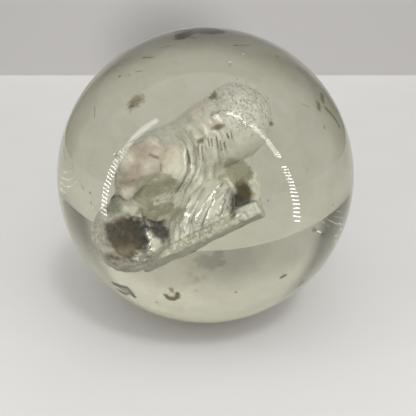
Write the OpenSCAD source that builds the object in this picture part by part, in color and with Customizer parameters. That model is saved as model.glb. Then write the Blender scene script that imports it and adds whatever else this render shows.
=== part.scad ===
// A solid glass marble cast round a small clay figure: a maned animal that lies on a slab.
// The origin is the ball's centre, +Z is up and the figure's side faces -Y. Lengths are in millimetres.

/* [Ball] */
// Diameter of the glass ball
ball_d = 44.45; // [40:0.05:60]
// Depth of the mark on top, where the ball was broken off its rod and melted over
rod_mark_depth = 0.35; // [0.2:0.05:0.6]
// Depth of the chips and pits in the surface
chip_depth = 0.2; // [0.1:0.05:0.4]

/* [Figure] */
// Length of the clay figure from its paws to its rump
figure_length = 21.4; // [16:0.1:24]
// Slope of the figure's slab, with its rump end up
figure_slope = 25; // [0:1:45]
// Lean of the figure's top away from the front
figure_lean = 18; // [0:1:45]
// Softness of the blends between the figure's forms
blend = 0.3; // [0.2:0.05:0.6]

/* [Mane and haunch] */
// Distance from ridge to ridge of the mane
mane_pitch = 1.1; // [0.9:0.05:2]
// Depth of the grooves between the mane's ridges
mane_groove = 0.45; // [0.1:0.05:0.6]
// Distance from ridge to ridge on the haunch
haunch_pitch = 1.2; // [0.9:0.05:2]
// Depth of the grooves between the haunch's ridges
haunch_groove = 0.4; // [0.1:0.05:0.6]

/* [Hidden] */
$fn = 96;

ball_r = ball_d / 2;
// The figure's forms are written at this length and scaled from there
drawn_length = 21.4;

// Marks on the ball, each cut by a round tool: longitude from the front, latitude and the tool's radius
rod_mark = [[-13, 79, 6]];
chips = [
    [29, 62, 1.6], [15, 58, 1.2], [-30, 40, 2], [61, 34, 2.4], [44, -8, 1.4],
    [-35, -30, 2.6], [-12, -26, 2], [30, -21, 1.2], [43, -30, 1.2]
];

// Each form of the figure: its centre, its half sizes and its tilt, with its +X end up.
// +X runs to the rump, +Y away and +Z up.
paws = [[-9.6, 0, -2.2], [3.7, 4.6, 3.7], 0];
head = [[-5.6, -2.9, 3.9], [2.5, 2.4, 2.2], 20];
muzzle = [[-7.3, -3.3, 2.7], [1.6, 1.5, 1.1], 35];
ear = [[-3.6, -4, 5.2], [0.9, 0.8, 1.1], 30];
mane = [[-3, 0.2, 1.9], [4.4, 3.9, 4.5], 0];
body = [[2.6, 0.2, 3.4], [6, 3.7, 3.5], 4];
rump = [[5.3, 0.2, 3.7], [2.9, 3.9, 3.6], 0];
haunch = [[-2.1, -2.7, -3.5], [4.5, 3.2, 2.3], 22];
chest = [[-5.2, 0.6, -2.2], [3, 3, 4], 0];
web = [[1.6, 1.6, -1.6], [3.2, 1.9, 4], 0];
slab = [[-2.7, 0, -5.3], [6.4, 4.7, 0.8]];
slab_edge = 0.4;
// Hollows: at the front of the paws, under the chin, and between haunch, rump and slab
paws_hollow = [[-9.2, -4.8, -3.3], [3.5, 3.4, 2.4], 0];
chin_hollow = [[-5.2, -5, -0.4], [2.9, 4.2, 1.7], 10];
rump_hollow = [[4.1, -4, -2.4], [2.5, 5, 2], -50];

// The ridges of the mane and of the haunch: where they are centred, and their least and greatest radius
mane_ridges = [[-4.6, 3.1], 3.1, 7.5];
haunch_ridges = [[3.4, -9.6], 3, 11];
// The grooves fade in between these shares of a form's depth, so none runs round to the back
fade_start = 0.2;
fade_end = 0.53;

// The least sum that a logarithm is taken of
least_sum = 1e-30;

// The skin: rings that grow from the middle of the front out to the outline, then shrink on the back
middle = [-2.2, 0.2];
ring_points = 104;
front_rings = 30;
back_rings = 14;
reach = 14;
front_y = -7;
back_y = 6;
// The front skin reaches back to front_limit at most, and the back skin forward to back_limit
front_limit = 0.5;
back_limit = 1;
// How the rings are spaced: 1 is even steps of a quarter turn, and less crowds them more towards the outline
crowding = 0.85;
// How each point finds the skin: it strides a share of its distance to it, until that is close enough
skin_stride = 0.6;
outline_stride = 0.7;
least_stride = 0.04;
close_enough = 0.01;

// Signed distance from p to the skin of a tilted egg shape, near enough close to the skin
function egg(p, f) =
    let (q = p - f[0], c = cos(f[2]), s = sin(f[2]))
    (norm([(q.x * c + q.z * s) / f[1].x, q.y / f[1].y, (q.z * c - q.x * s) / f[1].z]) - 1) * min(f[1]);

// Signed distance from p to a box with rounded edges
function box(p, f, edge) =
    let (q = [for (i = [0:2]) abs(p[i] - f[0][i]) - f[1][i] + edge])
    norm([for (v = q) max(v, 0)]) + min(max(q), 0) - edge;

// One soft union of several distances
function soft_min(d) = -blend * ln(max(least_sum, [for (v = d) exp(-v / blend)] * [for (v = d) 1]));

// Depth of the grooves between ridges that run round an eye, on the part of a form that faces the front
function grooves(p, f, eye, pitch, groove) =
    let (
        r = norm([p.x, p.z] - eye[0]),
        inside = min(r - eye[1], eye[2] - r),
        facing = ((f[0].y - p.y) / f[1].y - fade_start) / (fade_end - fade_start)
    )
    inside < 0 ? 0 : groove * (1 - cos(360 * inside / pitch)) / 2 * max(0, min(1, inside, facing));

// Signed distance from p to the whole figure
function figure(p) =
    let (
        smooth = [for (f = [paws, head, muzzle, ear, chest, rump, web]) egg(p, f)],
        maned = [for (f = [mane, body]) egg(p, f) + grooves(p, f, mane_ridges, mane_pitch, mane_groove)],
        ridged = egg(p, haunch) + grooves(p, haunch, haunch_ridges, haunch_pitch, haunch_groove),
        whole = soft_min(concat(smooth, maned, [ridged, box(p, slab, slab_edge)]))
    )
    max(whole, max([for (f = [paws_hollow, chin_hollow, rump_hollow]) -egg(p, f)]));

// Signed distance from (x, z) to the figure's outline, as it is seen from the front
function outline(x, z) =
    soft_min(concat(
        [for (f = [paws, head, muzzle, ear, chest, mane, body, rump, haunch, web]) egg([x, f[0].y, z], f)],
        [box([x, slab[0].y, z], slab, slab_edge)]
    ));

// Radius of the outline from the middle, at an angle: strides in from outside
function outline_r(c, s, r) =
    let (d = outline(middle.x + r * c, middle.y + r * s))
    d < close_enough ? r : outline_r(c, s, r - max(least_stride, outline_stride * d));

// Depth of the skin over (x, z): strides from outside, along Y in the direction way, to the middle at most
function skin_y(x, z, y, way) =
    let (d = figure([x, y, z]), stop = way > 0 ? front_limit : back_limit)
    d < close_enough ? y
    : (stop - y) * way < 0 ? stop
    : skin_y(x, z, y + way * max(least_stride, skin_stride * d), way);

// Share of the outline's radius at ring i of n: rings crowd towards the outline
function share(i, n) = sin(90 * pow(i / n, crowding));

radii = [for (j = [0:ring_points - 1]) let (a = 360 * j / ring_points) outline_r(cos(a), sin(a), reach)];
// Points of the ring at a share of the outline's radius, on the side that way looks from
function ring(t, y, way) =
    [for (j = [0:ring_points - 1])
        let (
            a = 360 * j / ring_points,
            x = middle.x + t * radii[j] * cos(a),
            z = middle.y + t * radii[j] * sin(a)
        )
        [x, skin_y(x, z, y, way), z]];

front = [for (i = [1:front_rings - 1]) ring(share(i, front_rings), front_y, 1)];
back = [for (i = [1:back_rings - 1]) ring(share(back_rings - i, back_rings), back_y, -1)];
// The ring along the outline itself lies midway between its neighbours
rim = [for (j = [0:ring_points - 1])
    let (a = 360 * j / ring_points, y = (front[front_rings - 2][j].y + back[0][j].y) / 2)
    [middle.x + radii[j] * cos(a), y, middle.y + radii[j] * sin(a)]];
rings = concat(front, [rim], back);

skin_points = concat(
    [[middle.x, skin_y(middle.x, middle.y, front_y, 1), middle.y]],
    [for (r = rings) each r],
    [[middle.x, skin_y(middle.x, middle.y, back_y, -1), middle.y]]
);
last_ring = len(rings) - 1;
last_point = len(skin_points) - 1;
// Number of the point at place j of ring i
function at(i, j) = 1 + i * ring_points + j % ring_points;
skin_faces = concat(
    [for (j = [0:ring_points - 1]) [0, at(0, j + 1), at(0, j)]],
    [for (i = [0:last_ring - 1], j = [0:ring_points - 1]) [at(i, j), at(i + 1, j + 1), at(i + 1, j)]],
    [for (i = [0:last_ring - 1], j = [0:ring_points - 1]) [at(i, j), at(i, j + 1), at(i + 1, j + 1)]],
    [for (j = [0:ring_points - 1]) [last_point, at(last_ring, j), at(last_ring, j + 1)]]
);

module figure_shape() {
    rotate([-figure_lean, 0, 0])
        rotate([0, -figure_slope, 0])
            scale(figure_length / drawn_length)
                polyhedron(points = skin_points, faces = skin_faces, convexity = 8);
}

// Round tools that bite into the ball's surface to a depth
module bites(marks, depth) {
    for (m = marks)
        rotate([0, 0, m[0]])
            rotate([90 - m[1], 0, 0])
                translate([0, 0, ball_r + m[2] - depth])
                    sphere(r = m[2]);
}

module glass_ball() {
    color([0.74, 0.75, 0.66, 0.4])
        difference() {
            sphere(r = ball_r);
            bites(rod_mark, rod_mark_depth);
            bites(chips, chip_depth);
            figure_shape();
        }
}

module clay_figure() {
    color("antiquewhite")
        figure_shape();
}

glass_ball();
clay_figure();
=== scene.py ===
# %% [markdown]
# # A glass marble with a clay figure inside
# The object is a sulphide marble: a solid ball of clear, faintly grey-green glass, cast round a small figure of
# white clay. The figure is a maned animal that lies on a slab. This script loads the measured model as a fixed
# frame, and then makes the looks of its two pieces, the ball and the figure with its froth, in metres and in the
# same frame.
# The frame comes first, because every place and size below is worked out from it.

# %% The frame
import math

import bmesh
import bpy
import numpy as np
from mathutils import Matrix, Vector, noise


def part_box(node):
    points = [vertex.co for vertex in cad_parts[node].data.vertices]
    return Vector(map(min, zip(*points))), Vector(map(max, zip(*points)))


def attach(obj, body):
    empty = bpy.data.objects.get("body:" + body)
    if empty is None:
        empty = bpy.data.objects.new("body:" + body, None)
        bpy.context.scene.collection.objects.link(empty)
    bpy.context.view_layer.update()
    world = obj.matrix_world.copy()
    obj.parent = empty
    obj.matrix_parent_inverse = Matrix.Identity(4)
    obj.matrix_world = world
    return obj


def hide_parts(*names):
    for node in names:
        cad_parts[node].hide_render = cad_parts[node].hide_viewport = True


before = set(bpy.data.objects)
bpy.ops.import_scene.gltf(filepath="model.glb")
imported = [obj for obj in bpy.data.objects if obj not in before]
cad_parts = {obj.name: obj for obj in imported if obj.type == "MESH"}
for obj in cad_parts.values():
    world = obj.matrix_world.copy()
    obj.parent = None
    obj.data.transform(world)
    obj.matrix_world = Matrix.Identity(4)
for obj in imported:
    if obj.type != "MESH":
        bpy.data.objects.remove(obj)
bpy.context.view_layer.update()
MM = 0.001
# The measured ball is made of small flats, so its box is a hair narrower than it is high: the least half is used
ball_r = min(abs(side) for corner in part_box("glass_ball") for side in corner)
print("ball radius in mm:", round(ball_r / MM, 3))

# %% [markdown]
# ## The camera
# The view looks down on the ball a little, from close by, as one looks at a marble on a table. Nearness matters
# more for glass than for other things: the ball acts as a strong lens, and what shows inside it, upside down,
# depends on how far away the eye is. So the distance is worked out from how much of the frame the ball fills.

# %% The camera
# In the frame's own units: its width, the lens's focal length and the ball's radius as the eye sees it
FRAME_PX = 416
view_down = math.radians(18)
focal_px = 600
ball_px = 148.5
eye_to_ball = ball_r / math.sin(math.atan(ball_px / focal_px))
camera_data = bpy.data.cameras.new("camera")
camera_data.sensor_width = 36
camera_data.lens = focal_px / FRAME_PX * camera_data.sensor_width
camera_data.clip_start = 0.001
camera_data.shift_x = 0.006
camera_data.shift_y = -0.0793
camera = bpy.data.objects.new("camera", camera_data)
camera.location = (0, -eye_to_ball * math.cos(view_down), eye_to_ball * math.sin(view_down))
camera.rotation_euler = (math.pi / 2 - view_down, 0, 0)
bpy.context.collection.objects.link(camera)
bpy.context.scene.camera = camera
print("eye to ball in mm:", round(eye_to_ball / MM, 1))

# %% [markdown]
# ## Shader maths
# A finish is a small graph of nodes. Written node by node, even a simple mask takes a dozen lines, so one class
# wraps a socket and gives it Python's operators, and one method adds any other kind of node.

# %% Helpers for node graphs
class Value:
    """A socket of a graph. Sums on it add Math nodes."""

    def __init__(self, graph, socket):
        self.graph = graph
        self.socket = socket

    def math(self, operation, first, second=0.0):
        return self.graph.node("ShaderNodeMath", {"operation": operation}, {0: first, 1: second})

    def __add__(self, other):
        return self.math("ADD", self, other)

    def __mul__(self, other):
        return self.math("MULTIPLY", self, other)

    def __sub__(self, other):
        return self.math("SUBTRACT", self, other)

    def __rsub__(self, other):
        return self.math("SUBTRACT", other, self)

    def __pow__(self, other):
        return self.math("POWER", self, other)

    __rmul__ = __mul__


class Graph:
    """A node tree, and the one method that adds nodes to it."""

    def __init__(self, tree):
        self.tree = tree

    def plug(self, socket, value):
        if isinstance(value, Value):
            self.tree.links.new(value.socket, socket)
        elif isinstance(value, tuple) and len(value) == 3 and socket.type == "RGBA":
            socket.default_value = (*value, 1)
        else:
            socket.default_value = value

    def node(self, kind, settings=None, sockets=None, output=0):
        made = self.tree.nodes.new(kind)
        for name, value in (settings or {}).items():
            setattr(made, name, value)
        for name, value in (sockets or {}).items():
            self.plug(made.inputs[name], value)
        return Value(self, made.outputs[output])


class Finish(Graph):
    """A material on one Principled surface."""

    def __init__(self, name):
        self.material = bpy.data.materials.new(name)
        self.material.use_nodes = True
        super().__init__(self.material.node_tree)
        self.surface = self.tree.nodes["Principled BSDF"]
        self.output = self.tree.nodes["Material Output"]

    def attribute(self, name, output="Fac"):
        return self.node("ShaderNodeAttribute", {"attribute_name": name}, output=output)

    def blend(self, share, first, second, way="MIX"):
        made = self.node("ShaderNodeMix", {"data_type": "RGBA", "blend_type": way}, output=2)
        for number, value in ((0, share), (6, first), (7, second)):
            self.plug(made.socket.node.inputs[number], value)
        return made

    def set(self, **sockets):
        for name, value in sockets.items():
            self.plug(self.surface.inputs[name.replace("_", " ")], value)


# %% [markdown]
# ## The table, the wall and the light
# A pale table and a grey wall stand behind, because clear glass has hardly any colour of its own: what it shows
# is mostly its surroundings, bent and turned over. The wall grows lighter just above the table, and darker again
# higher up and at its sides, which gives the ball its dark rim. Both also have a soft, darker oval behind the
# ball for the glass to show. From the front the table's shows only through the glass, while the top of the
# wall's also shows above the ball as a soft shade.
# Both ovals are painted shade: the table's deepens the ball's shadow, the wall's darkens what the ball shows of it.

# %% Table and wall
wall_behind = 0.249
stage_reach = 2.0
table_z = -ball_r
table_grey = (0.565, 0.555, 0.545)
# The wall's lower grey, at its foot, is painted shade
wall_grey, high_wall_grey = (0.385, 0.375, 0.365), (0.47, 0.46, 0.45)
# Heights in metres between which a sheet grows lighter, then darker, and the share of its light it loses there
lighter_between = (0.012, 0.05)
darker_between = (0.06, 0.15)
high_dark = 0.35
# Distances to either side, in metres, between which the dark sides begin, and between which they end
sides_begin = (0.12, 0.18)
sides_end = (0.4, 0.62)
# An oval of painted shade begins and is full at these shares of its half sizes
shade_oval_between = (1.1, 0.1)
speckle_dark = 0.06


def ramp(finish, value, limits):
    """0 up to the first limit and 1 from the second on, with a soft step between them."""
    return finish.node(
        "ShaderNodeMapRange", {"interpolation_type": "SMOOTHSTEP"}, {0: value, 1: limits[0], 2: limits[1]})


def stage_sheet(name, corners, shade, high_shade, grain_size, side_dark, shade_oval_middle, shade_oval_half, shade_oval_share):
    mesh = bpy.data.meshes.new(name)
    mesh.from_pydata(corners, [], [tuple(range(len(corners)))])
    sheet = bpy.data.objects.new(name, mesh)
    bpy.context.collection.objects.link(sheet)
    finish = Finish(name)
    place = finish.node("ShaderNodeTexCoord", output="Object")
    speckle = finish.node("ShaderNodeTexNoise", sockets={"Vector": place, "Scale": grain_size, "Detail": 6.0})
    up = finish.node("ShaderNodeSeparateXYZ", sockets={0: place}, output="Z")
    # Painted shade: a wall keeps its darker grey at its foot, below the first height, and grows lighter above it
    rise = ramp(finish, up, lighter_between)
    across = finish.node("ShaderNodeSeparateXYZ", sockets={0: place}, output="X")
    aside = finish.node("ShaderNodeMath", {"operation": "ABSOLUTE"}, {0: across})
    begun = ramp(finish, aside, sides_begin)
    ended = ramp(finish, aside, sides_end)
    side = begun * (1 - ended)
    fall = ramp(finish, up, darker_between)
    gloom = side * side_dark + fall * high_dark - side * fall * side_dark * high_dark
    level = finish.blend(gloom, finish.blend(rise, shade, high_shade), (0, 0, 0))
    # Painted shade: a soft oval, darkest in its middle
    moved = finish.node("ShaderNodeVectorMath", {"operation": "SUBTRACT"}, {0: place, 1: shade_oval_middle})
    scaled = finish.node("ShaderNodeVectorMath", {"operation": "DIVIDE"}, {0: moved, 1: shade_oval_half})
    reach = finish.node("ShaderNodeVectorMath", {"operation": "LENGTH"}, {0: scaled}, "Value")
    oval = ramp(finish, reach, shade_oval_between)
    finish.set(
        Base_Color=finish.blend(speckle * speckle_dark + oval * shade_oval_share, level, (0, 0, 0)), Roughness=0.8)
    mesh.materials.append(finish.material)


stage_sheet(
    "table",
    [(-stage_reach, -stage_reach, table_z), (stage_reach, -stage_reach, table_z),
     (stage_reach, wall_behind, table_z), (-stage_reach, wall_behind, table_z)],
    shade=table_grey, high_shade=table_grey, grain_size=40, side_dark=0.2,
    shade_oval_middle=(0.002, 0.022, table_z), shade_oval_half=(0.023, 0.019, 0.05), shade_oval_share=0.75)
stage_sheet(
    "wall",
    [(-stage_reach, wall_behind, table_z), (stage_reach, wall_behind, table_z),
     (stage_reach, wall_behind, stage_reach), (-stage_reach, wall_behind, stage_reach)],
    shade=wall_grey, high_shade=high_wall_grey, grain_size=9, side_dark=0.82,
    shade_oval_middle=(-0.02, wall_behind, -0.008), shade_oval_half=(0.046, 0.05, 0.036), shade_oval_share=0.34)
print("stage: a table and a wall, the wall in mm behind the ball:", round(wall_behind / MM))

# %% [markdown]
# The light is a soft dome, bright overhead and dim at the horizon, with a broad glow in front. A dome leaves no
# hard patch on the ball, as a soft box would. A soft key gives the ball its shadow. Two strips of small lamps,
# left and right of the eye, add the beaded streaks on the glass and the crisp glints on the figure.

# %% The dome, the key and the two strips of lamps
bpy.context.scene.view_settings.view_transform = "Standard"
dome = bpy.data.worlds.new("dome")
bpy.context.scene.world = dome
dome.use_nodes = True
sky = Graph(dome.node_tree)
horizon_light, overhead_light = 0.16, 1.2
direction = sky.node("ShaderNodeTexCoord", output="Generated")
upward = sky.node("ShaderNodeSeparateXYZ", sockets={0: direction}, output="Z")
dome_light = sky.node(
    "ShaderNodeMapRange", sockets={"Value": upward, "To Min": horizon_light, "To Max": overhead_light})


def glow(towards_it, strength, narrowness):
    facing = sky.node("ShaderNodeVectorMath", {"operation": "DOT_PRODUCT"}, {0: direction, 1: towards_it}, "Value")
    return strength * sky.node("ShaderNodeMath", {"operation": "MAXIMUM"}, {0: facing, 1: 0.0}) ** narrowness


# A broad glow from the front, above the eye, lights the clay. What silver shows inside the glass is a higher glow,
# because one near the eye would come back off the ball's far side as a veil. The ball's outside mirrors neither
front_glow = glow((0.16, -0.79, 0.59), strength=2.6, narrowness=6.0)
high_glow = glow((0.16, -0.6, 0.784), strength=3.0, narrowness=8.0)
mirrored = sky.node("ShaderNodeLightPath", output="Is Glossy Ray")
refracted = sky.node("ShaderNodeLightPath", output="Is Transmission Ray")
backdrop = dome.node_tree.nodes["Background"]
scattered = sky.node("ShaderNodeMath", {"operation": "MINIMUM"}, {
    0: sky.node("ShaderNodeLightPath", output="Diffuse Depth"), 1: 1.0})
inside = (1 - scattered) * (1 - mirrored * (1 - refracted))
sky.plug(backdrop.inputs["Strength"], dome_light + front_glow * scattered + high_glow * inside)
sky.plug(backdrop.inputs["Color"], (1.0, 0.995, 0.98))

# A soft key from high up in front. The ball's shadow falls behind it
key_turn, key_height = math.radians(22), math.radians(54)
key_data = bpy.data.lights.new("key", "SUN")
key_data.energy = 0.85
key_data.angle = math.radians(9)
key = bpy.data.objects.new("key", key_data)
key_from = Vector((
    math.sin(key_turn) * math.cos(key_height), -math.cos(key_turn) * math.cos(key_height), math.sin(key_height)))
key.rotation_euler = key_from.to_track_quat("Z", "Y").to_euler()
key.visible_glossy = False
key.visible_transmission = False
bpy.context.collection.objects.link(key)

# Each strip in mm from the ball's centre: its top, its middle and its foot, and the gap in it as shares of its length
strips = {
    "left": [(-57, -54, 86), (-69, -42, 37), (-72, -30, -19), (1, 1)],
    "right": [(52, -58, 78), (64, -51, 32), (58, -36, -19), (0.51, 0.57)],
}
beads = 38
bead_width, bead_height, bead_tilt = 0.0066, 0.0007, math.radians(-14)
bead_power = 0.0004
top_share = 0.5  # of the power at a strip's foot


def on_bent_line(first, middle, last, t):
    """The point at share t of a bent line through three points."""
    return first * (1 - t) * (1 - 2 * t) + middle * 4 * t * (1 - t) + last * t * (2 * t - 1)


for side, (*points, gap) in strips.items():
    first, middle, last = (Vector(point) * MM for point in points)
    for number in range(beads):
        t = number / (beads - 1)
        if gap[0] < t < gap[1]:
            continue
        lamp = bpy.data.lights.new(f"bead_{side}_{number}", "AREA")
        lamp.shape = "RECTANGLE"
        lamp.size = bead_width
        lamp.size_y = bead_height
        lamp.energy = bead_power * (top_share + (1 - top_share) * t)
        holder = bpy.data.objects.new(lamp.name, lamp)
        holder.location = on_bent_line(first, middle, last, t)
        holder.rotation_euler = holder.location.to_track_quat("Z", "Y").to_euler()
        holder.rotation_euler.rotate_axis("Z", bead_tilt)
        holder.visible_camera = False
        bpy.context.collection.objects.link(holder)
print("lamps in the strips:", sum(light.type == "AREA" for light in bpy.data.lights))

# %% [markdown]
# ## The glass ball
# The ball was cut from a rod of hot glass and rolled round, and it still has a melted scar on top. Later it was
# chipped and pitted, and dirt stayed in the pits. A fine sphere is made from triangles of even size, its skin is
# divided further round each mark, and the points there are pushed in. Nothing is pushed out, so the ball keeps
# the measured size. Dirt is painted onto the same points as an amount between 0 and 1.
# The ball's flanks and foot also get painted shade, in the same brown and as the same amount.

# %% Marks on the ball
# Each mark is a stroke on the ball: its points as longitude from the front and latitude in degrees, its half width
# in mm, its depth in mm and how dark its dirt is
marks = [
    # the melted scar of the rod: a long dark crescent, the hook at its end and a reddish streak
    ([(-54.8, 78.8), (-32, 80.9), (-3.7, 81.7), (15.3, 81.2), (24.7, 79.4)], 0.9, 0.03, 3.2),
    ([(-22.9, 82.5), (8.3, 82)], 1.7, 0.04, 3.4), ([(-34, 79), (-32, 74.2)], 1.1, 0.03, 2.2),
    ([(-21.1, 73.7), (-10.9, 73.1)], 0.22, 0.0, 0.35), ([(-73.1, 73.5), (-68.7, 76.1)], 0.15, 0.0, 0.3),
    # fractured chips that sparkle
    ([(25.9, 60.6), (27.9, 62.9), (29.4, 60.9)], 0.13, 0.04, 0.0), ([(26.9, 61.2), (28.4, 61.4)], 0.13, 0.03, 0.0),
    ([(13.4, 57.7), (16.3, 57.3)], 0.13, 0.03, 0.0), ([(15.2, 58.4), (14.9, 56.6)], 0.12, 0.03, 0.0),
    ([(14, 55.8)], 0.25, 0.02, 0.2), ([(72.3, 48.3)], 0.16, 0.03, 0.0),
    ([(40.6, -5.5), (42.8, -6.8)], 0.14, 0.03, 0.0), ([(38.3, -4.2), (39.6, -4.9)], 0.3, 0.02, 0.4),
    ([(43.2, -7.4), (44.4, -7.9)], 0.22, 0.02, 0.5),
    # the olive spot, its dark tip and its faint tails
    ([(-30.0, 40.7), (-31, 39.4)], 0.9, 0.03, 0.62), ([(-31.7, 38.4)], 0.5, 0.04, 1.1),
    ([(-32.2, 40.4), (-30.9, 41.8), (-28.9, 41.3)], 0.3, 0.02, 0.55),
    ([(-28.2, 40.3), (-26.6, 39.8)], 0.25, 0.0, 0.16), ([(-31.4, 37.2), (-31, 36.2)], 0.25, 0.0, 0.15),
    # a double stroke low on the left
    ([(-39.3, -28.4), (-35.4, -28.3), (-32.1, -27.8), (-31.5, -29.9), (-30.8, -32.5)], 0.42, 0.04, 1.25),
    ([(-38.5, -32.4), (-36.4, -33.2), (-32.7, -31.3)], 0.36, 0.03, 1.15),
    ([(-35.4, -30.3), (-32.2, -30)], 0.85, 0.0, 0.5),
    # the cup-shaped pit beside it
    ([(-15, -27.1), (-14.3, -29.1), (-12.6, -29.3), (-10.8, -27.8), (-10.2, -25.5)], 0.34, 0.05, 1.2),
    ([(-12.4, -23.3), (-12.2, -24.2)], 0.36, 0.03, 0.7), ([(-12.5, -26.6)], 0.7, 0.05, 0.12),
    ([(-12.7, -28.7)], 0.5, 0.03, 1.2),
    # brown blotches on the right shoulder
    ([(64.5, 38.4), (61, 36.5)], 0.5, 0.01, 0.45), ([(55.6, 36.1), (54.2, 34.8)], 0.55, 0.01, 0.45),
    ([(60.2, 33.6), (62.2, 31.5), (64, 28.9), (64.9, 25.8)], 0.4, 0.01, 0.5), ([(51.6, 28)], 0.3, 0.0, 0.25),
    ([(54.4, 57.9)], 0.35, 0.0, 0.3), ([(66, 62.6)], 0.32, 0.0, 0.25), ([(25.1, 66.7), (40.8, 66.3)], 0.18, 0.0, 0.4),
    # short strokes low on the right
    ([(28.3, -21.1), (29.7, -20.6)], 0.24, 0.04, 1.1), ([(42.2, -30.6), (43.7, -29.2)], 0.26, 0.04, 1.25),
    # smudges at the front and on the left shoulder
    ([(-5.2, -15.7)], 0.7, 0.0, 0.11), ([(-3.2, -16.9), (-2.9, -18)], 0.5, 0.0, 0.14),
    ([(-0.6, -16.6)], 0.45, 0.0, 0.13), ([(-4, -12.8)], 0.35, 0.0, 0.1),
    ([(-6.9, -19.7), (-3.8, -19.3)], 0.4, 0.0, 0.08), ([(-4.4, -17.2)], 1.3, 0.0, 0.06),
    ([(-36.8, 65.2), (-31.8, 66.5)], 0.25, 0.0, 0.2), ([(-43.6, 58.4), (-37.3, 58.8)], 0.24, 0.0, 0.3),
    ([(-40.3, 51.4), (-37, 52.1)], 0.18, 0.0, 0.2), ([(-43.5, 49.8)], 0.25, 0.0, 0.15),
    # fine scratches
    ([(-52.6, 35.4), (-49.2, 31.9)], 0.15, 0.01, 0.3), ([(44.2, 37.6), (48.3, 36.2)], 0.13, 0.01, 0.22),
    ([(-65.7, 16.9), (-60.8, 14.4)], 0.12, 0.01, 0.3), ([(-54.9, 14.8), (-52.3, 12.3)], 0.12, 0.01, 0.25),
    ([(-47.7, 10.3), (-44.9, 7.9)], 0.12, 0.01, 0.25),
]
# Small specks: longitude, latitude, half width in mm and how dark each is. All have one depth in mm
speck_depth = 0.02
specks = [
    (25.1, 32.8, 0.3, 0.95), (-20.2, -32.8, 0.24, 0.8), (-3.4, -23.1, 0.2, 0.45), (11.1, -24.6, 0.2, 0.35),
    (24, -37.8, 0.2, 0.7), (-32.4, 21.7, 0.26, 0.4), (-41.6, 7.7, 0.2, 0.35), (-40.7, 4.5, 0.2, 0.35),
    (-58.1, 2.1, 0.2, 0.45), (-76.4, 20, 0.2, 0.4), (48.5, 1.7, 0.2, 0.35), (-49.4, 48.5, 0.26, 0.45),
    (52, -16, 0.16, 0.4), (20, 9, 0.14, 0.25), (8, 44, 0.14, 0.25), (-20, 52, 0.15, 0.25), (36, 16, 0.16, 0.25),
]
marks += [([(longitude, latitude)], half, speck_depth, dark) for longitude, latitude, half, dark in specks]
print("marks on the ball:", len(marks))


# %% The ball's mesh
ball_steps = 7
# Near a mark, up to this many mm outside it, the skin is divided this many times more
fine_margin = 0.5
fine_steps = 2
# A thin film of dirt lies on all of the skin, in clouds and specks, as an amount between 0 and 1
film = 0.035
# Painted shade, in the dirt's colour, lies on the flanks and near the foot, which gives the ball its darker sides.
# All below are in radii: how far out and how far down it begins, over how much it grows, and the sizes of every
# grain in the skin
flank_shade = 0.085
flank_from, foot_from, flank_growth = 0.62, 0.5, 0.33
cloud_size, speck_size = 0.12, 0.035
ragged_size, crumb_size, facet_size = 0.03, 0.011, 0.006
# A mark with less dirt than this is a bare chip and shows its facets
facet_dirt = 0.2


def towards(longitude, latitude):
    longitude, latitude = math.radians(longitude), math.radians(latitude)
    return np.array((
        math.sin(longitude) * math.cos(latitude), -math.cos(longitude) * math.cos(latitude), math.sin(latitude)))


def line_distance(points, path):
    """Distance from many points to a line through the points of a path."""
    best = np.full(len(points), np.inf)
    for start, end in list(zip(path, path[1:])) or [(path[0], path[0])]:
        start, along = np.array(start, float), np.array(end, float) - np.array(start, float)
        share = np.clip((points - start) @ along / max(along @ along, 1e-12), 0, 1)
        best = np.minimum(best, np.linalg.norm(points - start - share[:, None] * along, axis=1))
    return best


def grain(points, size, shift=0.0):
    """Smooth noise between -1 and 1 at each point, with features of a size."""
    return np.array([noise.noise(Vector(point) / size + Vector((shift, shift, shift))) for point in points])


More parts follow.
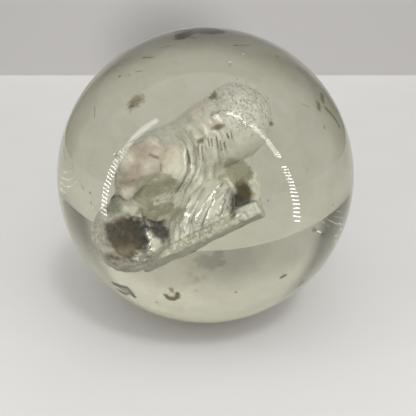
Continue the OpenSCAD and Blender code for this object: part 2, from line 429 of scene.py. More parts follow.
def ball_mesh():
    shape = bmesh.new()
    bmesh.ops.create_icosphere(shape, subdivisions=ball_steps, radius=ball_r)
    paths = [[towards(*point) for point in mark[0]] for mark in marks]
    size = ball_r / MM
    for _ in range(fine_steps):
        faces = list(shape.faces)
        out = np.array([face.calc_center_median().normalized() for face in faces])
        near = np.zeros(len(faces), bool)
        for path, mark in zip(paths, marks):
            near |= line_distance(out, path) * size < mark[1] + fine_margin
        edges = list({edge for face, close in zip(faces, near) if close for edge in face.edges})
        bmesh.ops.subdivide_edges(shape, edges=edges, cuts=1, use_grid_fill=True)
        bmesh.ops.triangulate(shape, faces=[face for face in shape.faces if len(face.verts) > 3])
    out = np.array([vert.co.normalized() for vert in shape.verts])
    push, frost = np.zeros((2, len(out)))
    stain_and_shade = film * np.clip(0.3 + grain(out, cloud_size) + 0.7 * grain(out, speck_size, 4.0), 0, 1)
    # Painted shade in the dirt's colour, on the flanks and near the foot
    flank = np.clip(np.maximum(np.abs(out[:, 0]) - flank_from, -out[:, 2] - foot_from) / flank_growth, 0, 1)
    stain_and_shade += flank_shade * flank * flank * (3 - 2 * flank)
    for path, (_, half, depth, dark) in zip(paths, marks):
        distance = line_distance(out, path) * size
        near = np.flatnonzero(distance < 2.2 * half)
        crumbs = grain(out[near], crumb_size, 5.0)
        # 1 in the middle of a mark and 0 outside its ragged edge
        ragged = 1.25 - distance[near] / half + 0.35 * grain(out[near], ragged_size) + 0.25 * crumbs
        inside = np.clip(0.95 * ragged, 0, 1)
        facets = 1 + (grain(out[near], facet_size, 9.0) if dark < facet_dirt else 0)
        push[near] = np.maximum(push[near], depth * inside * facets)
        stain_and_shade[near] = np.maximum(stain_and_shade[near], dark * inside * (0.9 + 0.3 * crumbs))
        if dark == 0:
            frost[near] = np.maximum(frost[near], inside)
    for vert, way, depth in zip(shape.verts, out, push):
        vert.co = Vector(way) * (ball_r - depth * MM)
    for face in shape.faces:
        face.smooth = True
    mesh = bpy.data.meshes.new("glass")
    shape.to_mesh(mesh)
    shape.free()
    for name, amounts in (("dirt_and_shade", stain_and_shade), ("frost", frost)):
        mesh.attributes.new(name, "FLOAT", "POINT").data.foreach_set("value", amounts)
    return mesh


ball = bpy.data.objects.new("ball", ball_mesh())
bpy.context.collection.objects.link(ball)
print("ball triangles:", len(ball.data.polygons))

# %% [markdown]
# Clear glass is one Principled surface that lets light through. Its faint colour comes from how far the light
# travels inside, so it belongs in the volume and not on the surface. Dirt, and the painted shade on the flanks, is
# a thin brown layer: a colour raised to the power of its amount, so that half as much is paler and keeps its hue.
# Fresh chips shine like silver.

# %% The glass finish
glass = Finish("glass")
full_dirt_and_shade = (0.045, 0.028, 0.008)
chip_roughness = 0.35
glass_index = 1.52
depth_colour, depth_density = (0.525, 0.53, 0.28), 18.5
stained_and_shaded = glass.node("ShaderNodeGamma", sockets={"Color": full_dirt_and_shade, "Gamma": glass.attribute("dirt_and_shade")})
glass.set(
    Base_Color=stained_and_shaded, Metallic=glass.attribute("frost"), Roughness=glass.attribute("frost") * chip_roughness,
    IOR=glass_index, Transmission_Weight=1.0)
depth_tint = glass.node("ShaderNodeVolumeAbsorption", sockets={"Color": depth_colour, "Density": depth_density})
glass.tree.links.new(depth_tint.socket, glass.output.inputs["Volume"])
ball.data.materials.append(glass.material)
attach(ball, "root")
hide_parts("glass_ball")

# %% [markdown]
# ## The clay figure
# A figure pressed from clay has soft, rounded forms. Each form is an egg that may be tilted, all of them flow
# into one another, and three hollows are bitten out. The same named forms give the measured model its shape. Here
# they are sampled far more finely, and the grooves are shallower, because painted strokes raise the ridges later.

# %% The figure's forms
# Each form in mm: its centre, its half sizes and its tilt in degrees, with its +X end up
forms = {
    "paws": ((-9.6, 0, -2.2), (3.7, 4.6, 3.7), 0),
    "head": ((-5.6, -2.9, 3.9), (2.5, 2.4, 2.2), 20),
    "muzzle": ((-7.3, -3.3, 2.7), (1.6, 1.5, 1.1), 35),
    "ear": ((-3.6, -4, 5.2), (0.9, 0.8, 1.1), 30),
    "chest": ((-5.2, 0.6, -2.2), (3, 3, 4), 0),
    "rump": ((5.3, 0.2, 3.7), (2.9, 3.9, 3.6), 0),
    "web": ((1.6, 1.6, -1.6), (3.2, 1.9, 4), 0),
    "mane": ((-3, 0.2, 1.9), (4.4, 3.9, 4.5), 0),
    "body": ((2.6, 0.2, 3.4), (6, 3.7, 3.5), 4),
    "haunch": ((-2.1, -2.7, -3.5), (4.5, 3.2, 2.3), 22),
}
hollows = [
    ((-9.2, -4.8, -3.3), (3.5, 3.4, 2.4), 0),
    ((-5.2, -5, -0.4), (2.9, 4.2, 1.7), 10),
    ((4.1, -4, -2.4), (2.5, 5, 2), -50),
]
slab_middle, slab_half, slab_edge = (-2.7, 0, -5.3), (6.4, 4.7, 0.8), 0.4
# Ridges run in arcs round an eye: its place, their least and greatest radius, their pitch and the grooves' depth
mane_ridges = ((-4.6, 3.1), 3.1, 7.5, 1.1, 0.2)
haunch_ridges = ((3.4, -9.6), 3, 11, 1.2, 0.2)
# How softly the forms flow into one another, in mm
blend = 0.3
# The whole figure slopes up to the right and leans back, until its front faces the eye
figure_slope = math.radians(25)
figure_lean = math.radians(18)
print("forms:", len(forms), "and", len(hollows), "hollows")


# %% Distances to the forms
def egg(points, form):
    centre, half, tilt = form
    x, y, z = (points - np.array(centre)).T
    c, s = math.cos(math.radians(tilt)), math.sin(math.radians(tilt))
    along, up = (x * c + z * s) / half[0], (z * c - x * s) / half[2]
    return (np.sqrt(along ** 2 + (y / half[1]) ** 2 + up ** 2) - 1) * min(half)


def slab(points):
    beyond = np.abs(points - np.array(slab_middle)) - np.array(slab_half) + slab_edge
    return np.linalg.norm(np.maximum(beyond, 0), axis=1) + np.minimum(beyond.max(axis=1), 0) - slab_edge


def soft_union(distances):
    total = sum(np.exp(-distance / blend) for distance in distances)
    return -blend * np.log(np.maximum(1e-30, total))


def grooves(points, form, ridges):
    (eye_x, eye_z), least, greatest, pitch, depth = ridges
    r = np.hypot(points[:, 0] - eye_x, points[:, 2] - eye_z)
    inside = np.minimum(r - least, greatest - r)
    facing = ((form[0][1] - points[:, 1]) / form[1][1] - 0.2) / 0.33
    wave = depth * (1 - np.cos(2 * np.pi * inside / pitch)) / 2
    return wave * np.clip(np.minimum(np.minimum(1, inside), facing), 0, 1)


def figure_distance(points):
    parts = []
    for name, form in forms.items():
        distance = egg(points, form)
        if name in ("mane", "body"):
            distance = distance + grooves(points, form, mane_ridges)
        elif name == "haunch":
            distance = distance + grooves(points, form, haunch_ridges)
        parts.append(distance)
    whole = soft_union(parts + [slab(points)])
    bites = np.max([-egg(points, hollow) for hollow in hollows], axis=0)
    return -soft_union([-whole, -bites])


def outline_distance(x, z):
    flat = [egg(np.column_stack([x, np.full_like(x, form[0][1]), z]), form) for form in forms.values()]
    return soft_union(flat + [slab(np.column_stack([x, np.full_like(x, slab_middle[1]), z]))])


# %% The figure's fine skin
# The skin is rings round a middle line, in mm. They lie closer together towards the outline
middle_x, middle_z = -2.2, 0.2
spokes = 560
front_rings = 118
back_rings = 40
ring_crowding = 0.85
# Each point starts clear of the figure and moves in until it lies on it: inwards for the outline, then along Y
outline_start, outline_passes, outline_close = 14.0, 200, 0.01
front_start, front_stop = -7, 0.5
back_start, back_stop = 6, 1
depth_passes, depth_close = 140, 0.004


def outline_radii():
    angles = np.linspace(0, 2 * np.pi, spokes, endpoint=False)
    radii = np.full(spokes, outline_start)
    for _ in range(outline_passes):
        distance = outline_distance(middle_x + radii * np.cos(angles), middle_z + radii * np.sin(angles))
        radii -= np.where(distance < outline_close, 0, np.maximum(0.02, 0.6 * distance))
    return angles, radii


def skin_depth(x, z, start, way, stop):
    y = np.full_like(x, float(start))
    for _ in range(depth_passes):
        distance = figure_distance(np.column_stack([x, y, z]))
        moving = (distance > depth_close) & ((stop - y) * way > 0)
        y += np.where(moving, way * np.maximum(0.01, 0.5 * distance), 0)
    return y


def figure_points():
    angles, radii = outline_radii()
    front = [math.sin(math.pi / 2 * (i / front_rings) ** ring_crowding) for i in range(front_rings)]
    back = [
        math.sin(math.pi / 2 * ((back_rings - i) / back_rings) ** ring_crowding) for i in range(1, back_rings + 1)]
    rings = []
    for shares, start, way, stop in ((front, front_start, 1, front_stop), (back, back_start, -1, back_stop)):
        for share in shares:
            x = middle_x + share * radii * np.cos(angles)
            z = middle_z + share * radii * np.sin(angles)
            rings.append(np.column_stack([x, skin_depth(x, z, start, way, stop), z]))
    rim = rings[front_rings - 1].copy()
    rim[:, 0] = middle_x + radii * np.cos(angles)
    rim[:, 2] = middle_z + radii * np.sin(angles)
    rim[:, 1] = (rings[front_rings - 1][:, 1] + rings[front_rings][:, 1]) / 2
    rings.insert(front_rings, rim)
    return rings


rings = figure_points()
print("figure rings:", len(rings))

# %% [markdown]
# Under the glass the clay is crossed by fine strands: they run round the animal's cheek in the mane, and across
# the haunch. They are too fine for the forms above, so each point of the skin is moved along its normal by a
# height that is worked out from its place. The same step adds froth, where the glass boiled on the clay, and the
# small dents of the face.

# %% Masks over the figure's front
def patch(points, centre, half, tilt, soft, wobble):
    """Share of 1 inside an oval of the front, faded at its edge."""
    x, z = points[:, 0] - centre[0], points[:, 2] - centre[1]
    c, s = math.cos(math.radians(tilt)), math.sin(math.radians(tilt))
    reach = np.hypot((x * c + z * s) / half[0], (z * c - x * s) / half[1]) + wobble
    return np.clip((1 + soft / 2 - reach) / soft, 0, 1)


def stroke(points, path, half, wobble):
    """Share of 1 along a line over the front, faded to its sides."""
    return np.clip(1.4 * (1 - line_distance(points[:, ::2], path) / half) + wobble, 0, 1)


def streaks(points, eye, wide, long, shift):
    """Noise between -1 and 1 that is drawn out along arcs round an eye."""
    x, z = points[:, 0] - eye[0], points[:, 2] - eye[1]
    r = np.hypot(x, z)
    arc = 6 * np.arctan2(z, x)
    return np.array([noise.noise(Vector((across / wide, along / long, shift))) for across, along in zip(r, arc)])


def band(value, low, high, soft):
    """Share of 1 between two limits, faded at both."""
    return np.clip((value - low) / soft, 0, 1) * np.clip((high - value) / soft, 0, 1)


def figure_faces():
    """Four-sided faces between the rings, and a fan of triangles at the first and the last point."""
    last = len(rings) - 3
    last_point = 1 + (last + 1) * spokes
    faces = []
    for j in range(spokes):
        k = (j + 1) % spokes
        faces.append((0, 1 + j, 1 + k))
        faces.append((last_point, 1 + last * spokes + k, 1 + last * spokes + j))
        for i in range(last):
            a, b = 1 + i * spokes + j, 1 + i * spokes + k
            faces.append((a, a + spokes, b + spokes, b))
    return faces


def point_normals(points, faces):
    mesh = bpy.data.meshes.new("measure")
    mesh.from_pydata(points.tolist(), [], faces)
    normals = np.empty(len(points) * 3)
    mesh.vertices.foreach_get("normal", normals)
    bpy.data.meshes.remove(mesh)
    return normals.reshape(-1, 3)


points = np.vstack([rings[0][:1], *rings[1:-1], rings[-1][:1]])
faces = figure_faces()
normals = point_normals(points, faces)
if np.sum(normals * (points - points.mean(axis=0))) < 0:
    faces = [face[::-1] for face in faces]
    normals = -normals
# 1 where the skin faces the front, then three sizes of grain in mm, and the wobble that frays the patches' edges
front = np.clip(-3 * normals[:, 1], 0, 1)
broad = grain(points, 1.6)
mid = grain(points, 0.55, 7.0)
fine = grain(points, 0.22, 3.0)
wobble = 0.25 * broad + 0.16 * mid + 0.1 * fine
print("figure points:", len(points))

# %% [markdown]
# The clay is bare and pinkish on the face, tan behind the cheek and stained brown in the hollow at the front.
# Elsewhere a film of air lies between clay and glass, and shines like silver. Everything below is a table of
# strokes and patches in mm over the figure's front: each has a place, a size, a colour and a height, so one table
# both shapes and paints the skin.
# Some of them are painted light and shade: highlights on crests and glints, shade in the grooves, the pit and the
# hollow.

# %% The table of patches and strokes
# Colours with their share of silver and their roughness
glint = (0.99, 0.99, 0.99, 0.8, 0.15)
white = (0.98, 0.98, 0.97, 0.25, 0.25)
grey_skin = (0.92, 0.91, 0.87, 0.1, 0.35)
shine = (0.99, 0.99, 0.98, 0.5, 0.25)
pale = (0.95, 0.92, 0.85, 0.05, 0.5)
tan = (0.88, 0.81, 0.74, 0.05, 0.45)
pink = (0.67, 0.61, 0.56, 0.03, 0.55)
rose = (0.60, 0.49, 0.44, 0.03, 0.55)
chalk = (0.98, 0.98, 0.95, 0.05, 0.4)
sage = (0.69, 0.68, 0.57, 0.1, 0.3)
olive = (0.50, 0.49, 0.40, 0.15, 0.3)
edge = (0.74, 0.73, 0.65, 0.1, 0.4)
dim = (0.46, 0.46, 0.42, 0.1, 0.4)
umber = (0.42, 0.32, 0.28, 0.05, 0.5)
smudge = (0.50, 0.43, 0.37, 0.05, 0.5)
brown = (0.11, 0.08, 0.036, 0.05, 0.5)
light_brown = (0.27, 0.22, 0.135, 0.05, 0.5)
flannel = (0.66, 0.65, 0.60, 0.1, 0.4)
# dark is near black: painted shade in the pit by the haunch and deep in the front hollow, and one tick of the mane
dark = (0.07, 0.065, 0.055, 0.1, 0.4)
haze = (0.79, 0.79, 0.76, 0.15, 0.35)
# mist is painted light: near white, so that the right end, turned from the light, shows the glass's tone
mist = (0.97, 0.97, 0.93, 0.05, 0.5)
# slate paints shade in the grooves between strands and ridges; it also greys a patch left of the chest and froth cell
# rims
slate = (0.45, 0.46, 0.40, 0.2, 0.3)
# Patches: place, half sizes, tilt, softness of the edge, colour, height in mm
patches = [
    ((-2.0, 5.8), (4.5, 1.0), 8, 0.9, haze, 0), ((1.5, 5.9), (4.0, 0.9), 8, 0.9, haze, 0),
    ((5.2, -2.5), (2.2, 4.2), 0, 0.6, mist, 0), ((3.2, -5.5), (2.6, 1.1), 0, 0.5, dim, 0),
    ((-0.7, 4.3), (2.2, 0.9), -5, 0.9, flannel, 0), ((-1.4, 2.2), (1.5, 1.9), 20, 0.9, flannel, 0),
    ((-5.8, 4.0), (2.7, 2.5), 0, 0.35, pink, 0), ((-2.7, 3.6), (1.9, 1.0), -15, 0.5, tan, 0.1),
    # the pale chest ending this line and the chalk patch below it: pale clay, painted paler as light against shade
    ((-2.9, 2.0), (1.3, 1.1), 0, 0.6, pale, 0.05), ((-8.5, 1.2), (1.3, 1.5), 0, 0.5, pale, 0.12),
    ((-8.75, 1.45), (1.0, 0.6), -20, 1.0, chalk, 0.42),
    # the two grey-green patches here are painted shade and reflection: shade under the chin, and the glass its air
    # film mirrors
    ((-5.25, 0.8), (2.2, 1.4), -8, 0.25, sage, -0.1), ((-5.7, -1.55), (2.1, 1.3), -20, 0.3, olive, -0.1),
    # the near-black patch ending this line is painted shade in the pit between the haunch and the slab
    ((3.2, -1.3), (1.2, 1.6), 10, 0.25, olive, 0), ((2.15, -4.1), (1.9, 1.1), 55, 0.6, dark, 0),
    # the white patch ending this line is a painted highlight on the crest of the back
    ((2.85, -3.05), (0.6, 0.8), 0, 1.0, brown, 0), ((4.4, 4.5), (1.9, 0.8), -25, 0.9, white, 0.05),
    ((-10.3, -2.3), (2.6, 2.3), -10, 0.45, brown, -0.15), ((-11.2, -3.8), (1.3, 0.8), 0, 1.0, light_brown, 0.1),
    # both near-black patches here are painted shade deep in the front hollow, beside its brown stain
    ((-8.5, -2.6), (0.6, 0.8), 0, 0.7, dark, 0), ((-6.8, -3.2), (0.8, 1.2), 10, 0.6, dark, -0.1),
    ((-13.2, -0.4), (0.8, 1.6), 10, 0.7, pale, 0), ((-10.1, 1.1), (0.9, 1.2), 0, 0.7, slate, 0),
    ((-6.9, 4.9), (1.2, 0.9), 30, 0.9, pale, 0.12), ((-5.1, 4.9), (0.9, 0.6), 0, 1.2, rose, -0.05),
    ((-6.3, 3.7), (0.9, 0.6), -20, 1.2, rose, -0.08), ((-7.3, 3.2), (0.7, 0.5), -30, 1.0, rose, 0.05),
    ((-4.9, 3.2), (0.9, 0.7), 0, 1.0, pale, 0.15), ((-7.75, 2.65), (0.8, 0.45), -25, 1.2, smudge, -0.1),
    ((1.8, 6.15), (0.55, 0.5), 0, 0.4, tan, 0.12), ((3.2, 6.45), (0.6, 0.45), 0, 0.4, tan, 0.12),
    ((4.1, 7.0), (0.5, 0.35), 0, 0.5, light_brown, 0), ((3.4, 3.95), (0.75, 0.28), -8, 0.8, light_brown, -0.1),
    ((2.8, 4.9), (0.9, 0.5), 0, 0.8, tan, 0.1), ((1.07, 3.4), (0.5, 0.3), 0, 0.8, light_brown, 0),
    ((7.0, 4.6), (2.4, 3.2), -10, 0.8, mist, 0), ((5.2, 0.9), (1.6, 1.2), 0, 0.8, mist, 0),
]
# Strokes: path, half width, colour, height in mm
strokes = [
    ([(-4.35, 4.4), (-4.1, 4.05), (-3.8, 3.75)], 0.22, umber, -0.12), ([(-3.82, 3.0), (-4.0, 2.3)], 0.2, rose, -0.1),
    ([(-8.4, 3.0), (-7.9, 2.5), (-7.1, 2.6)], 0.2, smudge, -0.06),
    ([(-3.6, 5.6), (-2.9, 4.35), (-2.2, 3.75)], 0.3, tan, 0.15),
    # the mane's three ridges: pale clay, with painted highlights along their crests and painted shade in the grooves
    ([(-0.92, 3.4), (-1.29, 2.32), (-1.89, 1.23), (-2.83, 0.52), (-3.93, -0.2), (-5.16, -0.46)], 0.34, chalk, 0.2),
    ([(-0.32, 3.24), (-0.57, 2.21), (-1.23, 0.92), (-2.04, 0.15), (-3.07, -0.5), (-4.1, -1.14)], 0.33, chalk, 0.18),
    ([(0.57, 3.05), (0.27, 1.81), (-0.34, 0.73), (-1.29, -0.08), (-2.34, -0.73)], 0.3, chalk, 0.16),
    ([(-0.92, 3.4), (-1.29, 2.32), (-1.89, 1.23), (-2.83, 0.52), (-3.93, -0.2)], 0.15, shine, 0.08),
    ([(-0.32, 3.24), (-0.57, 2.21), (-1.23, 0.92), (-2.04, 0.15), (-3.07, -0.5)], 0.14, shine, 0.08),
    ([(0.57, 3.05), (0.27, 1.81), (-0.34, 0.73), (-1.29, -0.08)], 0.13, shine, 0.07),
    ([(-0.6, 3.2), (-0.92, 2.2), (-1.58, 1.06), (-2.45, 0.32), (-3.5, -0.36)], 0.13, slate, -0.08),
    ([(0.1, 3.15), (-0.15, 2.0), (-0.8, 0.8), (-1.67, 0.02), (-2.7, -0.64)], 0.13, slate, -0.08),
    ([(1.2, -0.85), (2.6, -0.75), (3.9, -0.6)], 0.42, olive, 0),
    # painted highlights: white stripes across the grey-green under the chin, and between the dark ticks of the mane
    ([(-3.3, -0.9), (-4.6, -0.75), (-5.9, -0.5)], 0.17, white, 0.1),
    ([(-3.5, 0.2), (-4.6, -0.1), (-5.7, -0.05)], 0.14, white, 0.08),
    ([(-3.2, -1.5), (-4.3, -1.7)], 0.14, white, 0.08),
    ([(1.5, 3.3), (1.3, 2.4)], 0.13, white, 0.1), ([(2.42, 3.1), (2.2, 2.2)], 0.13, white, 0.1),
    ([(3.05, 3.2), (2.75, 1.7)], 0.14, white, 0.12), ([(3.5, 3.1), (3.35, 2.0)], 0.14, white, 0.12),
    ([(4.1, 3.2), (3.9, 2.3)], 0.13, white, 0.1), ([(4.7, 3.3), (4.45, 2.4)], 0.13, white, 0.08),
    # bright glints of the air film over the haunch, painted as highlights, and the dark breaks between them, painted
    # as shade
    ([(0.05, -1.99), (-1.52, -2.9), (-2.92, -3.89)], 0.34, glint, 0.2),
    ([(0.55, -3.15), (-0.54, -4.28)], 0.3, glint, 0.2),
    ([(0.53, -3.94), (-0.8, -5.07)], 0.26, glint, 0.18), ([(-3.46, -2.8), (-5.05, -3.77)], 0.26, glint, 0.14),
    ([(-3.93, -4.57), (-5.04, -5.2)], 0.24, glint, 0.12),
    ([(-1.9, -2.1), (-3.3, -3.1), (-4.6, -4.4)], 0.24, glint, 0.14),
    ([(0.9, -1.6), (-0.2, -2.6), (-1.4, -3.7), (-2.3, -4.7)], 0.2, glint, 0.14),
    ([(-0.4, -2.75), (-1.7, -3.7), (-2.7, -4.7)], 0.1, slate, -0.12),
    ([(-2.3, -2.75), (-3.7, -3.9)], 0.1, slate, -0.12),
    ([(0.35, -3.6), (-0.6, -4.8)], 0.09, slate, -0.1), ([(-3.1, -2.3), (-4.4, -3.1)], 0.1, slate, -0.12),
    ([(-5.12, 1.7), (-4.9, 1.65)], 0.22, white, 0.1), ([(-4.5, 0.6), (-4.1, 0.3)], 0.16, white, 0.1),
    ([(-0.68, 2.6), (-0.93, 1.7)], 0.11, umber, -0.06), ([(0.72, 3.33), (0.3, 2.1)], 0.1, umber, -0.05),
    ([(0.94, 2.9), (0.4, 1.4)], 0.11, light_brown, -0.06), ([(1.86, 3.37), (1.65, 2.6)], 0.1, brown, -0.08),
    ([(2.14, 3.12), (1.93, 2.4)], 0.09, brown, -0.07), ([(2.7, 3.2), (2.3, 1.9)], 0.1, light_brown, -0.07),
    ([(2.9, 2.66), (2.6, 1.6)], 0.09, brown, -0.07), ([(3.83, 2.92), (3.79, 2.5)], 0.13, dark, -0.08),
    ([(3.23, 2.27), (2.95, 1.5)], 0.1, brown, -0.07), ([(4.3, 3.0), (4.1, 2.3)], 0.09, light_brown, -0.06),
    # painted highlight: the bright crest along the top of the back, in silver and white
    ([(3.3, 5.15), (4.28, 5.11), (5.23, 4.69), (5.73, 3.77), (5.9, 2.8)], 0.42, glint, 0.14),
    ([(2.8, 4.9), (3.6, 4.6)], 0.2, white, 0.05),
    # painted highlights: the silver glint in the front hollow, white sparkles below it, and a thin glint along the
    # slab
    ([(-7.96, -2.63), (-7.88, -3.45), (-8.02, -3.96), (-8.3, -4.8)], 0.34, glint, 0.3),
    ([(-10.0, -4.46), (-9.99, -5.2)], 0.22, white, 0.1), ([(0.94, -5.3), (3.24, -5.1)], 0.16, glint, 0.08),
    ([(-7.3, -5.0), (-4.7, -5.1), (-1.8, -5.0), (0.9, -4.9)], 0.14, olive, -0.05),
    ([(-7.6, -6.1), (-4.67, -6.15), (-1.8, -6.1), (1, -5.75)], 0.3, edge, 0),
]
streak_fields = [
    # the eye of the arcs, the width and length of a strand, its colour, how much painted highlight and shade, height
    # in mm
    (mane_ridges[0], 0.36, 1.9, white, 0.85, 0.4, 0.14), (haunch_ridges[0], 0.44, 1.5, glint, 1.0, 0.55, 0.2),
]

# %% Shaping and painting the skin
# The haunch and the mane, as shares of 1 over the front, each cut off softly along straight lines and arcs
haunch_share = np.clip(1.2 - 3 * np.maximum(0, egg(points, forms["haunch"])), 0, 1) * front
haunch_share *= np.clip((3.4 - points[:, 0] + 1.2 * points[:, 2] + 1.6) / 0.6, 0, 1)
mane_r = np.hypot(points[:, 0] - mane_ridges[0][0], points[:, 2] - mane_ridges[0][1])
mane_share = band(mane_r, 3.2, 10.4, 0.5) * (1 - haunch_share) * front * np.clip((points[:, 2] + 2.0) / 0.8, 0, 1)
mane_share *= np.clip((5.7 - points[:, 2]) / 0.8, 0, 1) * np.clip((6.6 - points[:, 0]) / 1.0, 0, 1)
mane_share *= np.clip((points[:, 2] + 1.0 - 0.5 * points[:, 0]) / 0.6, 0, 1)
# The skin starts as plain grey clay with a slight unevenness. Each row of layer is a colour, its silver and its
# roughness, and height is in mm
layer = np.tile(np.array(grey_skin), (len(points), 1))
height = 0.03 * mid + 0.07 * broad


def lay(share, look):
    layer[:] += share[:, None] * (np.array(look) - layer)


# The slab's rim, the right end in near white as painted light against its shade, and the chalky haunch
lay(np.clip((-4.9 - points[:, 2] + 0.3 * mid) / 0.3, 0, 1), edge)
lay(np.clip((points[:, 0] - 4.2 + 0.5 * broad) / 1.2, 0, 1), mist)
lay(haunch_share * 0.85, chalk)
# Strands: crests painted light as highlights, and the gaps between them painted dark as shade
for share, (eye, wide, long, look, light, shade, lift) in zip((mane_share, haunch_share), streak_fields):
    wave = streaks(points + np.array((0.2, 0, 0.2)) * broad[:, None], eye, wide, long, 1.0)
    finer = streaks(points, eye, wide * 0.45, long * 0.5, 5.0)
    wave = wave + 0.45 * finer
    height += lift * share * np.clip(wave * 1.6, -1, 1)
    lay(share * light * np.clip((wave - 0.12) / 0.2, 0, 1), chalk)
    lay(share * light * np.clip((wave - 0.25) / 0.15, 0, 1), look)
    lay(share * shade * np.clip((-0.22 - wave) / 0.2, 0, 1), slate)
# The slab's rough front, with white specks of painted glint, and its underside, whose downward faces are painted
# pale as light against their shade
slab_share = np.clip((-4.8 - points[:, 2] + 0.3 * mid) / 0.3, 0, 1) * front
height += slab_share * (0.12 * mid + 0.08 * fine)
lay(slab_share * np.clip((fine + 0.5 * mid - 0.02) / 0.15, 0, 1), olive)
lay(slab_share * np.clip((-0.2 - fine) / 0.12, 0, 1), white)
lay(np.clip(-2 * normals[:, 2] - 0.6, 0, 1) * np.clip((-5.4 - points[:, 2]) / 0.3, 0, 1), chalk)
for centre, half, tilt, soft, look, lift in patches:
    share = patch(points, centre, half, tilt, soft, wobble) * np.clip(front * 2, 0, 1)
    lay(share, look)
    height += lift * share
for path, half, look, lift in strokes:
    share = stroke(points, path, half, 0.5 * mid + 0.4 * fine) * front
    lay(share, look)
    height += lift * share
# Foam on the rump, on the front foot and a little on the back, with cells of froth in mm
cell_size = 0.42
foam = np.maximum(
    patch(points, (7.0, 5.2), (2.4, 3.0), 0, 0.8, wobble), patch(points, (-13.2, -0.2), (0.9, 1.8), 0, 0.8, wobble))
foam = np.maximum(foam, 0.5 * patch(points, (4.8, 6.6), (2.0, 1.0), 15, 0.8, wobble))
cells = np.array([noise.voronoi(Vector(point) / cell_size)[0][0] for point in points])
height += foam * (0.14 * (1 - np.clip(cells * 1.5, 0, 1)) - 0.05)
lay(foam * np.clip((0.3 - cells) / 0.15, 0, 1) * 0.8, white)
lay(foam * np.clip((cells - 0.66) / 0.15, 0, 1) * 0.3, slate)
# The right end of the slab is pale, as it fades into the glass
slab_end = np.clip((points[:, 0] - 0.9) / 0.9, 0, 1) * np.clip((-4.4 - points[:, 2]) / 0.4, 0, 1)
lay(slab_end, haze)
# painted light: those of its faces that turn to the right are painted near white against their shade
lay(slab_end * np.clip(2 * normals[:, 0] - 0.3, 0, 1), mist)
# The brown hollow at the front is rougher and more mottled than the rest
hollow_share = patch(points, (-9.6, -3.0), (3.0, 2.8), 0, 0.4, wobble)
height += hollow_share * (0.22 * mid + 0.1 * fine)
mottled = 1 + 0.14 * mid + 0.1 * fine + hollow_share * (0.5 * mid + 0.25 * fine + 0.5 * broad)
mottled = mottled + foam * (0.5 * fine - 0.05)
layer[:, :3] *= mottled[:, None]
layer = np.clip(layer, 0.02, 0.98)
points = points + normals * height[:, None]
print("figure skin moved by up to mm:", round(float(np.abs(height).max()), 2))

# %% The figure's mesh
turned = Matrix.Rotation(-figure_lean, 3, "X") @ Matrix.Rotation(-figure_slope, 3, "Y")
figure_data = bpy.data.meshes.new("figure")
figure_data.from_pydata((points @ np.array(turned).T * MM).tolist(), [], faces)
figure_data.shade_smooth()
colours = figure_data.attributes.new("tint", "FLOAT_COLOR", "POINT")
colours.data.foreach_set("color", np.column_stack([layer[:, :3], np.ones(len(points))]).ravel())
for name, values in (("silver", layer[:, 3]), ("rough", layer[:, 4]), ("foam", foam)):
    figure_data.attributes.new(name, "FLOAT", "POINT").data.foreach_set("value", values)
figure = bpy.data.objects.new("figure", figure_data)
bpy.context.collection.objects.link(figure)
print("figure triangles:", 2 * len(figure_data.polygons) - 2 * spokes)

# %% The clay finish
mottle_colour, mottle_share = (0.6, 0.56, 0.48), 0.3
pit_depth, pit_strength, pit_roughness = 0.00015, 0.7, 0.3
clay = Finish("clay")
place = clay.node("ShaderNodeTexCoord", output="Object")
mottle = clay.node("ShaderNodeTexNoise", sockets={"Vector": place, "Scale": 1500.0, "Detail": 6.0, "Roughness": 0.7})
pits = clay.node("ShaderNodeTexNoise", sockets={"Vector": place, "Scale": 3200.0, "Detail": 4.0, "Roughness": 0.6})
tint = clay.attribute("tint", "Color")
silver = clay.attribute("silver")
darker = clay.blend(mottle * mottle_share, tint, mottle_colour, "MULTIPLY")
relief = clay.node("ShaderNodeBump", sockets={"Height": pits, "Strength": pit_strength, "Distance": pit_depth})
clay.set(
    Base_Color=darker, Metallic=silver, Roughness=clay.attribute("rough") + (pits - 0.5) * pit_roughness,
    Normal=relief)
figure_data.materials.append(clay.material)
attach(figure, "root")
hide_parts("clay_figure")

# %% [markdown]
# ## The froth
# Where the hot glass met damp clay, steam froze into froth: hundreds of fine bubbles on the rump and the front
# foot, some a little way out in the glass. Geometry Nodes scatters them over the skin where the foam is painted.

# %% The froth's node tree
froth_shade, froth_light = (0.62, 0.61, 0.53), (0.95, 0.94, 0.88)
froth_finish = Finish("froth")
froth_place = froth_finish.node("ShaderNodeTexCoord", output="Object")
froth_noise = froth_finish.node("ShaderNodeTexNoise", sockets={"Vector": froth_place, "Scale": 2500.0})
froth_finish.set(
    Base_Color=froth_finish.blend(froth_noise, froth_shade, froth_light), Metallic=0.7, Roughness=0.18)


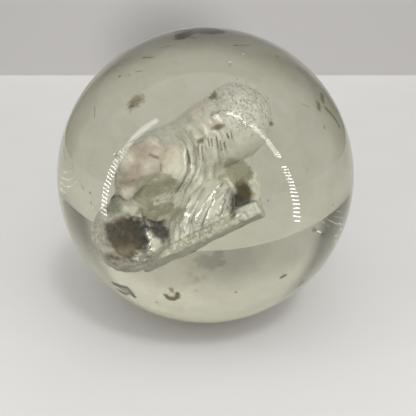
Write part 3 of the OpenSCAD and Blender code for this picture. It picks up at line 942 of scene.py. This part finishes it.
def froth_tree():
    tree = bpy.data.node_groups.new("froth", "GeometryNodeTree")
    face = tree.interface
    face.new_socket("Geometry", in_out="INPUT", socket_type="NodeSocketGeometry")
    for name in ("Density", "Reach", "Least", "Greatest"):
        face.new_socket(name, in_out="INPUT", socket_type="NodeSocketFloat")
    face.new_socket("Finish", in_out="INPUT", socket_type="NodeSocketMaterial")
    face.new_socket("Geometry", in_out="OUTPUT", socket_type="NodeSocketGeometry")
    graph = Graph(tree)
    inlet = tree.nodes.new("NodeGroupInput")
    skin, density, reach, least, greatest, finish = (Value(graph, socket) for socket in inlet.outputs[:6])
    share = graph.node("GeometryNodeInputNamedAttribute", {"data_type": "FLOAT"}, {"Name": "foam"})
    scatter = graph.node(
        "GeometryNodeDistributePointsOnFaces", sockets={"Mesh": skin, "Density": share * density, "Seed": 4})
    away = Value(graph, scatter.socket.node.outputs["Normal"])
    far = graph.node("FunctionNodeRandomValue", {"data_type": "FLOAT"}, {"Seed": 11}, "Value")
    lift = graph.node("ShaderNodeVectorMath", {"operation": "SCALE"}, {0: away, "Scale": (far ** 3.0) * reach})
    spread = graph.node("GeometryNodeSetPosition", sockets={"Geometry": scatter, "Offset": lift})
    bubble = graph.node("GeometryNodeMeshIcoSphere", sockets={"Radius": 1.0, "Subdivisions": 2})
    pick = graph.node("FunctionNodeRandomValue", {"data_type": "FLOAT"}, {"Seed": 23}, "Value")
    size = least + (pick ** 2.5) * (greatest - least)
    placed = graph.node(
        "GeometryNodeInstanceOnPoints", sockets={"Points": spread, "Instance": bubble, "Scale": size})
    real = graph.node("GeometryNodeRealizeInstances", sockets={"Geometry": placed})
    done = graph.node("GeometryNodeSetMaterial", sockets={"Geometry": real, "Material": finish})
    outlet = tree.nodes.new("NodeGroupOutput")
    graph.plug(outlet.inputs[0], done)
    return tree


# %% The froth itself
maker = bpy.data.objects.new("froth_maker", figure_data.copy())
bpy.context.collection.objects.link(maker)
grower = maker.modifiers.new("froth", "NODES")
grower.node_group = froth_tree()
# Bubbles to a square metre of full foam, how far out of the skin they reach, and their least and greatest radius
froth_inputs = {
    "Density": 5e6, "Reach": 0.0006, "Least": 0.00003, "Greatest": 0.00013, "Finish": froth_finish.material}
for item in grower.node_group.interface.items_tree:
    if item.item_type == "SOCKET" and item.in_out == "INPUT" and item.name in froth_inputs:
        grower[item.identifier] = froth_inputs[item.name]
maker.update_tag()
bpy.context.view_layer.update()
froth_data = bpy.data.meshes.new_from_object(maker.evaluated_get(bpy.context.evaluated_depsgraph_get()))
bpy.data.objects.remove(maker)
froth_data.name = "froth"
froth_data.shade_smooth()
froth = bpy.data.objects.new("froth", froth_data)
bpy.context.collection.objects.link(froth)
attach(froth, "root")
print("froth triangles:", len(froth_data.polygons))
